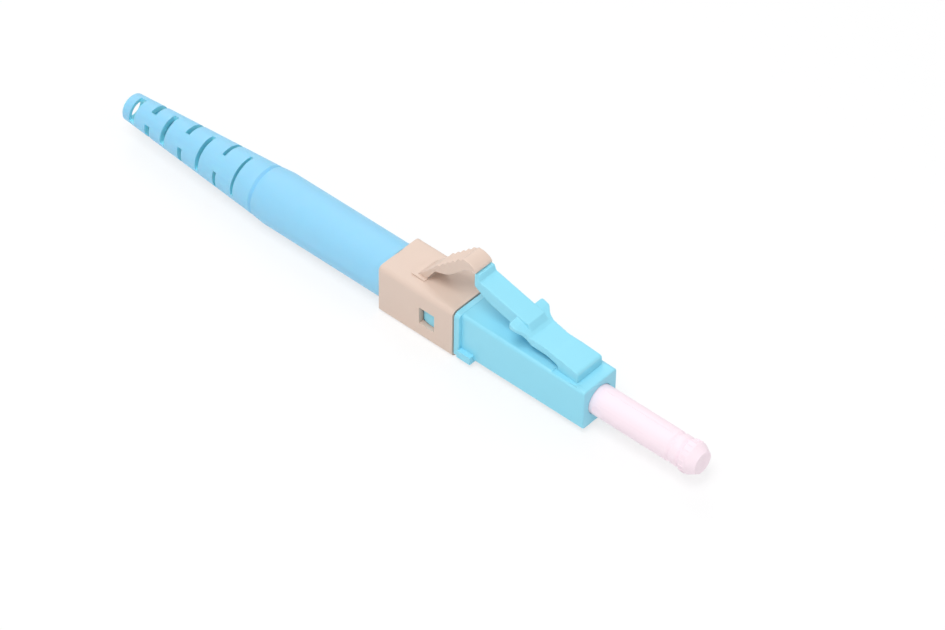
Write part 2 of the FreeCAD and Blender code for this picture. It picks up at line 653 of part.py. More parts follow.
def make_ferrule_holder():
    body = new_body("ferrule_holder")
    face = sketch_on(body, "YZ_Plane", "HolderHexFace", holder_front)
    hexagon(face, S.holder_hex)
    pad(body, "HolderFlange", face, S.holder_flange, back=True)
    stem = sketch_on(body, "YZ_Plane", "StemFace", flange_rear)
    circle(stem, S.stem_radius)
    pad(body, "Stem", stem, S.stem_length, back=True)
    seat = S.ferrule_radius + S.press_play
    stop = S.ferrule_out - S.ferrule_length
    socket = S.guide_radius + S.press_play
    turned(body, "HolderBore", [
        (holder_front + 0.1, 0), (holder_front + 0.1, seat), (stop, seat),
        (stop, S.guide_bore), (stem_end + S.guide_socket, S.guide_bore),
        (stem_end + S.guide_socket, socket), (stem_end - 0.1, socket),
        (stem_end - 0.1, 0)], cut=True)
    return body


def make_guide_tube():
    body = new_body("guide_tube")
    front = stem_end + S.guide_socket
    turned(body, "TubeWall", [
        (front, S.guide_bore), (front, S.guide_radius),
        (front - S.guide_length, S.guide_radius), (front - S.guide_length, S.guide_bore)])
    return body


def make_spring():
    """Coil between the holder flange and the backbone, about the X axis."""
    front = flange_rear - S.wire_radius - S.coil_play
    rear = spigot_front + S.wire_radius + S.coil_play
    length = front - rear
    helix = DOC.addObject("Part::Helix", "CoilPath")
    helix.setExpression("Pitch", (length / S.coil_turns).text)
    helix.setExpression("Height", length.text)
    helix.setExpression("Radius", S.coil_radius.text)
    wire = DOC.addObject("Part::RegularPolygon", "WireSection")
    wire.Polygon = 4
    wire.setExpression("Circumradius", S.wire_radius.text)
    wire.Placement = FreeCAD.Placement(
        FreeCAD.Vector(1, 0, 0), FreeCAD.Rotation(FreeCAD.Vector(1, 0, 0), 90))
    wire.setExpression(".Placement.Base.x", S.coil_radius.text)
    coil = DOC.addObject("Part::Sweep", "spring")
    coil.Label = "ferrule_spring"
    coil.Sections = [wire]
    coil.Spine = (helix, [])
    coil.Solid = True
    coil.Frenet = True
    coil.Placement = FreeCAD.Placement(
        FreeCAD.Vector(), FreeCAD.Rotation(FreeCAD.Vector(0, 1, 0), 90))
    coil.setExpression(".Placement.Base.x", rear.text)
    DOC.recompute()
    return coil


def make_backbone():
    body = new_body("backbone")
    spigot = S.rear_bore / 2 - S.spigot_play
    bore = S.guide_radius + S.guide_play
    turned(body, "BackboneTube", [
        (spigot_front, bore), (spigot_front, spigot),
        (skirt_end - S.collar_play, spigot), (skirt_end - S.collar_play, S.barrel_radius),
        (barrel_end, S.barrel_radius), (barrel_end, bore)])
    collar = sketch_on(body, "YZ_Plane", "CollarFace", skirt_end - S.collar_play)
    half = S.skirt_width / 2
    rectangle(collar, -half, half, -half, half)
    circle(collar, S.barrel_radius - 0.05)
    pad(body, "Collar", collar, skirt_end - clip_floor - S.collar_play * 2, back=True)
    dress(body, "Fillet", "CollarCorners", "Radius", S.skirt_corner,
          lambda e: runs_along(e, AHEAD) and abs(abs(e.CenterOfMass.y) - half.number) < 0.01)
    return body


def make_crimp_sleeve():
    body = new_body("crimp_sleeve")
    inner = S.barrel_radius + S.sleeve_play
    outer = inner + S.sleeve_wall
    turned(body, "SleeveWall", [(crimp_front, inner), (crimp_front, outer),
                                (crimp_rear, outer), (crimp_rear, inner)])
    return body


PIECES = [make() for make in (
    make_plug_body, make_latch_arm, make_rear_clip, make_trigger_arm, make_boot,
    make_dust_cap, make_ferrule, make_ferrule_holder, make_guide_tube, make_spring,
    make_backbone, make_crimp_sleeve)]
DOC.recompute()
for thing in DOC.Objects:
    if "Invalid" in thing.State or "Error" in thing.State:
        raise RuntimeError("failed: %s %s" % (thing.Name, thing.State))
for piece in PIECES:
    if piece.Shape.isNull() or not piece.Shape.isValid() or len(piece.Shape.Solids) != 1:
        raise RuntimeError("bad shape: " + piece.Label)
os.makedirs("parts", exist_ok=True)
for piece in PIECES:
    piece.Shape.exportStep("parts/%s.step" % piece.Label)
    print("%-16s %8.3f mm3" % (piece.Label, piece.Shape.Volume))
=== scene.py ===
import math

import bmesh
import bpy
from mathutils import Matrix, Vector


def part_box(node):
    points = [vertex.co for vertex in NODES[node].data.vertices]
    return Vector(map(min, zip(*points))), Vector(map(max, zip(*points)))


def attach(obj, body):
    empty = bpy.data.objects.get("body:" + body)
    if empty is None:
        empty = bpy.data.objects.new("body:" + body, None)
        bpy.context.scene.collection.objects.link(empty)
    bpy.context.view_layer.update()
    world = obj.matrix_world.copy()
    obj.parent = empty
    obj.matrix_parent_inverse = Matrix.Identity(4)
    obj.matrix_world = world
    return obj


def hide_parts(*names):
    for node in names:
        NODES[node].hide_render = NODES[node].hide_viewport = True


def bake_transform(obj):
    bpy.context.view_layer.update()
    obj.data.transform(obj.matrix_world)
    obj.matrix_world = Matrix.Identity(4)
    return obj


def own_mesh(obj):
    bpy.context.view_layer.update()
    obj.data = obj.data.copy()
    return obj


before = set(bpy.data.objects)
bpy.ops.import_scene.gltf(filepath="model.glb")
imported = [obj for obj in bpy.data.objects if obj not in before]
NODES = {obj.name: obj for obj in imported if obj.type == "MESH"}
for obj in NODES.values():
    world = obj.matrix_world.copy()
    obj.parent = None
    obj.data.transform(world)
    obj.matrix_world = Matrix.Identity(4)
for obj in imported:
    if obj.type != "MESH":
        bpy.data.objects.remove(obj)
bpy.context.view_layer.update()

bl_info = {
    "name": "Fibre plug looks",
    "version": (1, 0, 0),
    "blender": (4, 5, 0),
    "location": "3D View > Sidebar > Fibre plug",
    "description": "Dresses the packed fibre plug with soft edges, moulded finishes and a stage",
    "category": "Object",
}

# x runs forward along the plug, y across it and z up. The named sizes below are in
# millimetres and degrees, unless they say otherwise.
MM = 0.001


# ---------------------------------------------------------------- sizes and colours

def millimetres(name, description, default):
    return bpy.props.FloatProperty(
        name=name, description=description, default=default * MM, min=0.0,
        subtype="DISTANCE", unit="LENGTH", precision=6)


def finish_colour(name, description, default):
    return bpy.props.FloatVectorProperty(
        name=name, description=description, default=default, size=3, min=0.0, max=1.0,
        subtype="COLOR")


class PlugSizes(bpy.types.PropertyGroup):
    """Small sizes that soften the moulded pieces."""

    body_edge: millimetres("Body edge", "Rounding on the edges of the nose and flange", 0.10)
    latch_skin: millimetres("Latch skin", "Fineness of the moulded skin of the latch", 0.055)
    clip_edge: millimetres("Clip edge", "Rounding on the edges of the rear clip", 0.07)
    lever_skin: millimetres("Lever skin", "Fineness of the moulded skin of the lever", 0.04)
    boot_edge: millimetres("Boot edge", "Rounding on the slots of the boot", 0.05)
    cap_edge: millimetres("Cap edge", "Rounding on the rims of the dust cap", 0.12)


class PlugColours(bpy.types.PropertyGroup):
    """Base colours of the moulded and plated pieces."""

    aqua: finish_colour("Aqua", "Hard moulded plastic of the nose and latch",
                        (0.285, 0.720, 0.885))
    boot: finish_colour("Boot", "Soft plastic of the boot", (0.285, 0.640, 0.880))
    beige: finish_colour("Beige", "Hard moulded plastic of the clip and lever",
                         (0.730, 0.575, 0.485))
    cap: finish_colour("Cap", "Soft pale plastic of the dust cap", (0.955, 0.800, 0.870))
    ceramic: finish_colour("Ceramic", "Polished ferrule", (0.87, 0.86, 0.83))
    brass: finish_colour("Plated brass", "Ferrule holder", (0.60, 0.57, 0.50))
    plated: finish_colour("Plated metal", "Backbone and crimp sleeve", (0.62, 0.63, 0.64))
    steel: finish_colour("Steel", "Drawn spring wire", (0.50, 0.51, 0.53))
    tube: finish_colour("Tube", "Guide tube", (0.85, 0.85, 0.80))


# ---------------------------------------------------------------- materials

# Roughness, grain scale and strength of the bump.
FINISHES = {
    "aqua_plastic": (0.34, 5200.0, 0.16),
    "clip_plastic": (0.40, 5200.0, 0.2),
    "boot_plastic": (0.46, 3600.0, 0.3),
    "cap_plastic": (0.42, 4200.0, 0.15),
    "zirconia": (0.12, 8000.0, 0.02),
    "tube_plastic": (0.5, 5000.0, 0.1),
    "plated_metal": (0.3, 6000.0, 0.3),
    "nickel_brass": (0.28, 7000.0, 0.2),
    "spring_steel": (0.22, 9000.0, 0.1),
}
PLASTIC_DRIFT, METAL_DRIFT = 0.03, 0.06     # how far the colour wanders, as a share
CLOUD_SCALE, CLOUD_DETAIL, GRAIN_DETAIL = 420.0, 3.0, 2.0
ROUGHNESS_SWING = 0.10
BUMP_DEPTH = 0.01
BOOT_GLOW = (0.2, 0.8, 1.0)                 # how far red, green and blue go in, as shares
BOOT_GLOW_SHARE, BOOT_GLOW_DEPTH = 0.25, 0.6
BOOT_CONE = (-43.3, 2.451, 0.0676)          # a point on the tapered wall, its radius, the slope
SLOTS_FRONT = -42.6                         # the slots lie behind this
SLOT_BOUNCE_FADE = 0.15                            # depth at which the slots have their full painted bounced light
# colour of the painted bounced light on the slot walls, a clearer teal than the boot
SLOT_BOUNCE_PAINT = (0.29, 0.77, 0.90, 1.0)
MIX_FIRST, MIX_SECOND, MIX_RESULT = 6, 7, 2     # the colour sockets of a mix node


def number(tree, kind, *values):
    """One sum in a node tree, on sockets or plain numbers."""
    made = tree.nodes.new("ShaderNodeMath")
    made.operation = kind
    for socket, value in zip(made.inputs, values):
        if isinstance(value, bpy.types.NodeSocket):
            tree.links.new(value, socket)
        else:
            socket.default_value = value
    return made.outputs[0]


def moulded_group():
    """Fine moulded skin: colour drift, a roughness map and a height for bump."""
    known = bpy.data.node_groups.get("moulded_skin")
    if known:
        return known
    group = bpy.data.node_groups.new("moulded_skin", "ShaderNodeTree")
    for way, kind, names in (("INPUT", "Color", ("Colour",)),
                             ("INPUT", "Float", ("Drift", "Roughness", "Grain scale")),
                             ("OUTPUT", "Color", ("Colour",)),
                             ("OUTPUT", "Float", ("Roughness", "Height"))):
        for name in names:
            group.interface.new_socket(name, in_out=way, socket_type="NodeSocket" + kind)
    nodes, links = group.nodes, group.links
    source = nodes.new("NodeGroupInput")
    sink = nodes.new("NodeGroupOutput")
    place = nodes.new("ShaderNodeTexCoord")
    cloud = nodes.new("ShaderNodeTexNoise")
    grain = nodes.new("ShaderNodeTexNoise")
    cloud.inputs["Scale"].default_value = CLOUD_SCALE
    links.new(source.outputs["Grain scale"], grain.inputs["Scale"])
    for noise, detail in ((cloud, CLOUD_DETAIL), (grain, GRAIN_DETAIL)):
        noise.inputs["Detail"].default_value = detail
        links.new(place.outputs["Object"], noise.inputs["Vector"])

    drift = source.outputs["Drift"]
    swing = number(group, "MULTIPLY_ADD", cloud.outputs["Fac"], drift, 1.0)
    tint = nodes.new("ShaderNodeVectorMath")
    tint.operation = "SCALE"
    links.new(source.outputs["Colour"], tint.inputs[0])
    links.new(number(group, "MULTIPLY_ADD", drift, -0.5, swing), tint.inputs["Scale"])
    links.new(tint.outputs[0], sink.inputs["Colour"])
    gloss = number(group, "MULTIPLY_ADD", grain.outputs["Fac"], ROUGHNESS_SWING,
                   source.outputs["Roughness"])
    links.new(gloss, sink.inputs["Roughness"])
    links.new(grain.outputs["Fac"], sink.inputs["Height"])
    return group


def plastic(name, colour, drift=PLASTIC_DRIFT):
    """A moulded plastic with its own grain, on Object coordinates."""
    roughness, grain, bump = FINISHES[name]
    made = bpy.data.materials.new(name)
    made.use_nodes = True
    nodes, links = made.node_tree.nodes, made.node_tree.links
    shader = nodes["Principled BSDF"]
    skin = nodes.new("ShaderNodeGroup")
    skin.node_tree = moulded_group()
    for socket, value in (("Colour", (*colour, 1.0)), ("Drift", drift),
                          ("Roughness", roughness), ("Grain scale", grain)):
        skin.inputs[socket].default_value = value
    relief = nodes.new("ShaderNodeBump")
    relief.inputs["Strength"].default_value = bump
    relief.inputs["Distance"].default_value = BUMP_DEPTH * MM
    links.new(skin.outputs["Height"], relief.inputs["Height"])
    links.new(skin.outputs["Colour"], shader.inputs["Base Color"])
    links.new(skin.outputs["Roughness"], shader.inputs["Roughness"])
    links.new(relief.outputs["Normal"], shader.inputs["Normal"])
    return made


def metal(name, colour):
    """A plated or drawn metal with a fine turned finish."""
    made = plastic(name, colour, METAL_DRIFT)
    made.node_tree.nodes["Principled BSDF"].inputs["Metallic"].default_value = 1.0
    return made


def soak(material):
    """Lets light into the soft plastic of the boot."""
    shader = material.node_tree.nodes["Principled BSDF"]
    shader.inputs["Subsurface Weight"].default_value = BOOT_GLOW_SHARE
    shader.inputs["Subsurface Radius"].default_value = BOOT_GLOW
    shader.inputs["Subsurface Scale"].default_value = BOOT_GLOW_DEPTH * MM


def paint_slot_bounce_light(material):
    """Paints bounced light on the inner walls of the slots: a clearer teal, stronger by their
    depth under the taper.
    """
    tree = material.node_tree
    place = tree.nodes.new("ShaderNodeTexCoord")
    parts = tree.nodes.new("ShaderNodeSeparateXYZ")
    tree.links.new(place.outputs["Object"], parts.inputs[0])
    along, across, up = parts.outputs
    square = number(tree, "MULTIPLY_ADD", across, across, number(tree, "MULTIPLY", up, up))
    at, wide, slope = BOOT_CONE
    wall = number(tree, "MULTIPLY_ADD", along, slope, (wide - at * slope) * MM)
    depth = number(tree, "SUBTRACT", wall, number(tree, "SQRT", square))
    share = number(tree, "MULTIPLY", depth, 1 / (SLOT_BOUNCE_FADE * MM))
    share.node.use_clamp = True
    # painted bounced light: full deep in the slots, none on the outer wall or ahead of the slots
    painted_bounce_share = number(tree, "MULTIPLY", share,
                  number(tree, "LESS_THAN", along, SLOTS_FRONT * MM))
    mix = tree.nodes.new("ShaderNodeMix")
    mix.data_type = "RGBA"
    base = tree.nodes["Principled BSDF"].inputs["Base Color"]
    tree.links.new(painted_bounce_share, mix.inputs["Factor"])
    tree.links.new(base.links[0].from_socket, mix.inputs[MIX_FIRST])
    mix.inputs[MIX_SECOND].default_value = SLOT_BOUNCE_PAINT
    tree.links.new(mix.outputs[MIX_RESULT], base)


def wear(thing, material):
    thing.data.materials.clear()
    thing.data.materials.append(material)


# ---------------------------------------------------------------- making a piece

JOIN_WITHIN, FLAT_WITHIN, CUT_WITHIN = 0.0004, 0.4, 0.0001
PARALLEL = 0.999                # cosine from which an edge runs along an axis
SHARP_ANGLE = 30.0
EASE = 0.5                      # how far each pass of smoothing goes


def clean_form(node):
    """The node's own form, its loose triangles joined into clean faces."""
    work = bmesh.new()
    work.from_mesh(NODES[node].data)
    bmesh.ops.remove_doubles(work, verts=work.verts, dist=JOIN_WITHIN * MM)
    bmesh.ops.dissolve_limit(work, angle_limit=math.radians(FLAT_WITHIN), verts=work.verts,
                             edges=work.edges, delimit={"NORMAL"})
    return work


def place_piece(work, name, body, material):
    """Puts a finished form in the scene; a piece given no body is left unattached."""
    mesh = bpy.data.meshes.new(name)
    work.to_mesh(mesh)
    work.free()
    piece = bpy.data.objects.new(name, mesh)
    bpy.context.scene.collection.objects.link(piece)
    wear(piece, material)
    if body:
        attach(piece, body)
    return piece


def middle(edge):
    return (edge.verts[0].co + edge.verts[1].co) / 2 / MM


def runs(edge, axis):
    step = edge.verts[1].co - edge.verts[0].co
    return abs(step[axis]) > PARALLEL * step.length


def round_off(work, test, share, segments=5, kind="PERCENT"):
    """Rounds the edges that pass the test; share is in percent of the sides or in metres."""
    chosen = [edge for edge in work.edges if test(edge)]
    bmesh.ops.bevel(work, geom=chosen, offset=share, offset_type=kind, segments=segments,
                    profile=0.5, affect="EDGES", clamp_overlap=True, material=-1)


def grow_root(work, at, along, stations):
    """Cuts the hinge end off a lever and grows it on over the stub that carries it.

    at and along give the cut; each station is the top point, the under point, both as
    (x, z), and the half width there, in millimetres."""
    everything = work.verts[:] + work.edges[:] + work.faces[:]
    bmesh.ops.bisect_plane(work, geom=everything, dist=CUT_WITHIN * MM, clear_outer=True,
                           plane_co=Vector(at) * MM, plane_no=Vector(along))
    rim = [edge for edge in work.edges if edge.is_boundary]
    corners = {vert for edge in rim for vert in edge.verts}
    (top, under), wide = stations[0][:2], max(vert.co.y for vert in corners)
    span = (under[0] - top[0], under[1] - top[1])
    reach = span[0] ** 2 + span[1] ** 2
    # Each corner of the cut keeps its share of the way down and across at every station.
    share = {}
    for vert in corners:
        x, z = vert.co.x / MM - top[0], vert.co.z / MM - top[1]
        share[vert] = (min(max((x * span[0] + z * span[1]) / reach, 0), 1), vert.co.y / wide)
    for top, under, half in stations[1:]:
        made = bmesh.ops.extrude_edge_only(work, edges=rim)["geom"]
        fresh = {part for part in made if isinstance(part, bmesh.types.BMVert)}
        moved = {}
        for vert in fresh:
            source = next(edge.other_vert(vert) for edge in vert.link_edges
                          if edge.other_vert(vert) in share)
            part, side = moved[vert] = share[source]
            vert.co = Vector((top[0] + part * (under[0] - top[0]), side * half,
                              top[1] + part * (under[1] - top[1]))) * MM
        share = moved
        rim = [part for part in made if isinstance(part, bmesh.types.BMEdge)
               and part.verts[0] in fresh and part.verts[1] in fresh]
    bmesh.ops.holes_fill(work, edges=rim, sides=0)
    bmesh.ops.recalc_face_normals(work, faces=work.faces)


def shade(piece, angle):
    """Shades a piece smooth between its sharp edges."""
    piece.data.shade_smooth()
    piece.data.set_sharp_from_angle(angle=math.radians(angle))


def soften(piece, width, angle, segments):
    """Rounds the sharp edges of a piece and shades it smooth between them."""
    bevel = piece.modifiers.new("soft_edges", "BEVEL")
    bevel.width = width
    bevel.segments = segments
    bevel.limit_method = "ANGLE"
    bevel.angle_limit = math.radians(angle)
    bevel.profile = 0.5
    bevel.harden_normals = True
    shade(piece, angle)


def mould(piece, fineness, passes):
    """Gives a piece one even skin with rolled edges, as a moulding has."""
    skin = piece.modifiers.new("skin", "REMESH")
    skin.mode = "VOXEL"
    skin.voxel_size = fineness
    ease = piece.modifiers.new("ease", "SMOOTH")
    ease.factor = EASE
    ease.iterations = passes
    bpy.context.view_layer.update()
    ready = piece.evaluated_get(bpy.context.evaluated_depsgraph_get())
    mesh = bpy.data.meshes.new_from_object(ready)
    piece.modifiers.clear()
    piece.data = mesh
    mesh.shade_smooth()


def dress(node, body, material, width=None, angle=SHARP_ANGLE, segments=3, shape=None,
          form=None, fineness=None, passes=8):
    """Puts a softened piece over a node, edge by edge or as one even skin."""
    work = form or clean_form(node)
    if shape:
        shape(work)
    piece = place_piece(work, node + "_dressed", body, material)
    if fineness:
        mould(piece, fineness, passes)
    else:
        soften(piece, width, angle, segments)
    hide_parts(node)
    return piece


# ---------------------------------------------------------------- nose and latch

FLANGE_FRONT, FLANGE_ROUND = -14.46, 0.16
FLANGE_HALF, FLANGE_TOP, FLANGE_FOOT = 2.62, 2.56, 2.74
NEAR, RIM_SHARE = 0.02, 0.97

BELLY_REAR, BELLY_FRONT, BELLY_TOP = -13, -10, 4.8
BELLY_ROUND = 42                # percent of the sides next to each edge
LATCH_CUT = -4.45
LATCH_STATIONS = (
    ((-4.45, 3.72), (-4.45, 2.88), 1.50), ((-4.2, 3.705), (-4.2, 2.84), 1.528),
    ((-3.95, 3.672), (-3.95, 2.79), 1.545), ((-3.8, 3.652), (-3.8, 2.72), 1.553),
    ((-3.72, 3.642), (-3.72, 2.6), 1.557), ((-3.68, 3.638), (-3.68, 2.2), 1.559),
    ((-3.0, 3.546), (-3.0, 2.2), 1.593), ((-2.2, 3.437), (-2.2, 2.2), 1.634),
    ((-1.6, 3.356), (-1.6, 2.2), 1.664), ((-1.49, 3.33), (-1.49, 2.2), 1.67),
    ((-1.39, 3.262), (-1.39, 2.2), 1.675), ((-1.315, 3.165), (-1.315, 2.2), 1.679),
    ((-1.285, 3.05), (-1.285, 2.2), 1.68))


def shape_body(work):
    """Rounds the front rim of the flange more than the other edges."""
    def front_rim(edge):
        spot = middle(edge)
        out = max(abs(spot.y) / FLANGE_HALF, spot.z / FLANGE_TOP, -spot.z / FLANGE_FOOT)
        return abs(spot.x - FLANGE_FRONT) < NEAR and not runs(edge, 0) and out > RIM_SHARE

    round_off(work, front_rim, FLANGE_ROUND * MM, 2, "OFFSET")


def shape_latch(work):
    """Rolls the belly of the thumb arm, then grows the arm on over its root."""
    def belly(edge):
        spot = middle(edge)
        return runs(edge, 1) and spot.z < BELLY_TOP and BELLY_REAR < spot.x < BELLY_FRONT

    round_off(work, belly, BELLY_ROUND)
    grow_root(work, (LATCH_CUT, 0, 0), (1, 0, 0), LATCH_STATIONS)


# ---------------------------------------------------------------- squeeze lever

LEVER_CUT = (-19.61, 0.0, 3.615)
LEVER_WAY = (-0.643, 0.0, -0.766)
LEVER_STATIONS = (
    ((-19.857, 3.82), (-19.395, 3.433), 1.11), ((-20.045, 3.63), (-19.52, 3.235), 1.118),
    ((-20.21, 3.455), (-19.645, 3.06), 1.125), ((-20.345, 3.335), (-19.72, 2.94), 1.125),
    ((-20.62, 3.08), (-19.735, 2.86), 1.125), ((-20.89, 2.8), (-19.735, 2.8), 1.125))
LEVER_HALF = 1.11
LEVER_FOOT = (-20.275, 3.337)
RAMP_START, RAMP_SLOPE = (-19.6, 4.12), 0.913
RIDGES, RIDGE_FIRST, RIDGE_PITCH, RIDGE_HEIGHT = 5, -18.55, 0.625, 0.21
LEVER_BROW = ((-15.43, 7.92), (-14.95, 7.92), (-14.45, 7.79), (-14.02, 7.53), (-13.84, 7.27))
LEVER_LIP = (-13.87, 7.16)      # stays a sharp corner
LEVER_UNDER = ((-15.0, 6.98), (-16.45, 5.55), (-17.2, 4.84), (-18.75, 4.33), (-19.77, 2.91))
FLOW_REAR, FLOW_BROW, FLOW_DROP = -19.5, -15.3, 0.6
FLOW_ROUND = 40                 # percent of the sides next to each edge


def ramp(x, lift=0.0):
    """A point on the lever's rear slope, which carries the ridges."""
    return x, RAMP_START[1] + (x - RAMP_START[0]) * RAMP_SLOPE + lift


def lever_form():
    """The lever: its side drawn once and pulled out to its width, then flowing curves."""
    side = [LEVER_FOOT, ramp(RIDGE_FIRST - RIDGE_PITCH / 2)]
    for k in range(RIDGES):
        x = RIDGE_FIRST + RIDGE_PITCH * k
        side += [ramp(x, RIDGE_HEIGHT), ramp(x + RIDGE_PITCH / 2)]
    side += [*LEVER_BROW, LEVER_LIP, *LEVER_UNDER]
    work = bmesh.new()
    face = work.faces.new([work.verts.new(Vector((x, -LEVER_HALF, z)) * MM) for x, z in side])
    made = bmesh.ops.extrude_face_region(work, geom=[face])["geom"]
    fresh = [part for part in made if isinstance(part, bmesh.types.BMVert)]
    bmesh.ops.translate(work, verts=fresh, vec=(0.0, LEVER_HALF * 2 * MM, 0.0))
    bmesh.ops.recalc_face_normals(work, faces=work.faces)

    def flowing(edge):
        spot = middle(edge)
        return (runs(edge, 1) and spot.x > FLOW_REAR
                and (spot.x > FLOW_BROW or spot.z < ramp(spot.x)[1] - FLOW_DROP)
                and abs(spot.x - LEVER_LIP[0]) > 0.01)

    round_off(work, flowing, FLOW_ROUND)
    grow_root(work, LEVER_CUT, LEVER_WAY, LEVER_STATIONS)
    return work


# ---------------------------------------------------------------- boot and cap

RIM_PRESS = 0.07                # how far the boot's front rim reaches into the clip
GROOVE_BACK = 16.47             # from the front of the boot back to its ring groove
GROOVE_MOVE, GROOVE_SHRINK, GROOVE_LEAST = 0.07, 0.94, 2
SLOTS_REAR, SLOTS_END = -58, -42.5
SLOT_EDGE, SLOT_ROUND = 0.25, 0.14
SLOT_SLANT, SLOT_CORNER = 0.02, 0.3     # as a sine, and in radians

GRIP_RIBS = 18
# Rear, front, width, and the inner and outer reach from the axis.
GRIP_RIB = (10.3, 10.82, 0.13, 1.45, 1.635)
PARTING_LINE = (0.35, 8.55, 0.17, 1.4, 1.535)


def shape_boot(work):
    """Presses the front rim on to the clip, deepens the ring groove, rounds the slot ends."""
    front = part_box("boot")[1][0]
    for vert in work.verts:
        if vert.co.x > front - 0.01 * MM:
            vert.co.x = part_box("rear_clip")[0][0] + RIM_PRESS * MM
        elif (abs(vert.co.x - front + GROOVE_BACK * MM) < NEAR * MM
              and vert.co.yz.length > GROOVE_LEAST * MM):
            vert.co.x += GROOVE_MOVE * MM
            vert.co.yz *= GROOVE_SHRINK

    def slot_end(edge):
        """True for a square edge that points straight out from the axis."""
        spot, step = middle(edge), (edge.verts[1].co - edge.verts[0].co) / MM
        slant = abs(step.yz.cross(spot.yz)) / max(step.yz.length * spot.yz.length, NEAR)
        return (SLOTS_REAR < spot.x < SLOTS_END and step.length > SLOT_EDGE
                and abs(step.x) < NEAR and slant < SLOT_SLANT
                and abs(edge.calc_face_angle(0) - math.pi / 2) < SLOT_CORNER)

    round_off(work, slot_end, SLOT_ROUND * MM, 4, "OFFSET")


def shape_cap(work):
    """Adds the grip ribs of the head and the fine parting lines of the tube."""
    def bar(rear, front, wide, low, high, turn):
        made = bmesh.ops.create_cube(work, size=1.0)["verts"]
        bmesh.ops.scale(work, verts=made, vec=((front - rear) * MM, wide * MM,
                                               (high - low) * MM))
        bmesh.ops.translate(work, verts=made, vec=((rear + front) / 2 * MM, 0.0,
                                                   (high + low) / 2 * MM))
        bmesh.ops.rotate(work, verts=made, cent=(0.0, 0.0, 0.0),
                         matrix=Matrix.Rotation(turn, 3, "X"))

    for k in range(GRIP_RIBS):
        bar(*GRIP_RIB, (k + 0.5) * math.tau / GRIP_RIBS)
    for turn in (0.0, math.pi):
        bar(*PARTING_LINE, turn)


# ---------------------------------------------------------------- makers

SPRING_SHARP = 50.0


class PLUG_OT_nose(bpy.types.Operator):
    """Nose, flange and latch in aqua plastic"""

    bl_idname = "plug.nose"
    bl_label = "Nose and latch"

    def execute(self, context):
        sizes, colours = context.scene.plug_sizes, context.scene.plug_colours
        aqua = plastic("aqua_plastic", colours.aqua)
        dress("plug_body", "housing", aqua, sizes.body_edge,
              shape=shape_body)
        latch = dress("latch_arm", None, aqua, shape=shape_latch,
                      fineness=sizes.latch_skin)
        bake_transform(latch)
        return {"FINISHED"}


class PLUG_OT_clip(bpy.types.Operator):
    """Rear clip and squeeze lever in beige plastic"""

    bl_idname = "plug.clip"
    bl_label = "Clip and lever"

    def execute(self, context):
        sizes, colours = context.scene.plug_sizes, context.scene.plug_colours
        beige = plastic("clip_plastic", colours.beige)
        dress("rear_clip", "housing", beige, sizes.clip_edge)
        lever = dress("trigger_arm", None, beige, form=lever_form(),
                      fineness=sizes.lever_skin, passes=4)
        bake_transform(lever)
        return {"FINISHED"}


class PLUG_OT_boot(bpy.types.Operator):
    """Slotted strain relief boot in soft plastic"""

    bl_idname = "plug.boot"
    bl_label = "Boot"

    def execute(self, context):
        sizes, colours = context.scene.plug_sizes, context.scene.plug_colours
        soft = plastic("boot_plastic", colours.boot)
        soak(soft)
        # painted bounced light on the walls of the boot's slots
        paint_slot_bounce_light(soft)
        dress("boot", "housing", soft, sizes.boot_edge, segments=2,
              shape=shape_boot)
        return {"FINISHED"}


class PLUG_OT_cap(bpy.types.Operator):
    """Dust cap in pale soft plastic"""

    bl_idname = "plug.cap"
    bl_label = "Dust cap"

    def execute(self, context):
        sizes, colours = context.scene.plug_sizes, context.scene.plug_colours
        pale = plastic("cap_plastic", colours.cap)
        dress("dust_cap", "cap", pale, sizes.cap_edge, angle=14.0,
              shape=shape_cap)
        return {"FINISHED"}


class PLUG_OT_inside(bpy.types.Operator):
    """Finishes of the pieces inside the plug"""

    bl_idname = "plug.inside"
    bl_label = "Inside pieces"

    def execute(self, context):
        colours = context.scene.plug_colours
        plated = metal("plated_metal", colours.plated)
        for node, material in (
                ("ferrule", plastic("zirconia", colours.ceramic)),
                ("ferrule_holder", metal("nickel_brass", colours.brass)),
                ("guide_tube", plastic("tube_plastic", colours.tube)),
                ("backbone", plated), ("crimp_sleeve", plated)):
            wear(NODES[node], material)

        steel = metal("spring_steel", colours.steel)
        spring = place_piece(clean_form("ferrule_spring"), "spring_dressed", "housing",
                             steel)
        shade(spring, SPRING_SHARP)
        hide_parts("ferrule_spring")
        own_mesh(spring)
        return {"FINISHED"}


# ---------------------------------------------------------------- stage

FLOOR_SIZE, FLOOR_DROP = 3.0, 0.005         # metres from the middle, millimetres under the clip
FLOOR_COLOUR, FLOOR_ROUGHNESS, FLOOR_SPECULAR = (0.94, 0.94, 0.945, 1.0), 0.9, 0.1
FLOOR_GLOW = 0.72               # share of plain white where the background shows
ROOM_LIGHT, ROOM_SEEN = 0.50, 1.0
WHITE = (1.0, 1.0, 1.0, 1.0)

# Places and sizes of the lamps in metres, powers in watts.
LAMP_TARGET = (-0.02, 0.0, 0.0)
LAMPS = (
    ("key_lamp", (0.02, -0.20, 0.55), 0.35, 1.88),
    ("rear_lamp", (-0.35, 0.25, 0.40), 0.30, 0.5),
    ("front_lamp", (0.40, 0.05, 0.25), 0.30, 0.15))

# The camera's place in metres; the rows are its right, its down and the way it looks.
CAMERA_PLACE = (0.16955645, -0.21221382, 0.26874152)
CAMERA_ROWS = ((0.7460373, 0.66577717, 0.01300447),
               (0.46652376, -0.50862904, -0.72363809),
               (-0.47516727, 0.54592789, -0.6900571))
FOCAL_LENGTHS = 4301.92 / 945.0             # focal length over the width of the frame
SENSOR_WIDTH, CLIP_NEAR, CLIP_FAR = 36.0, 0.01, 10.0


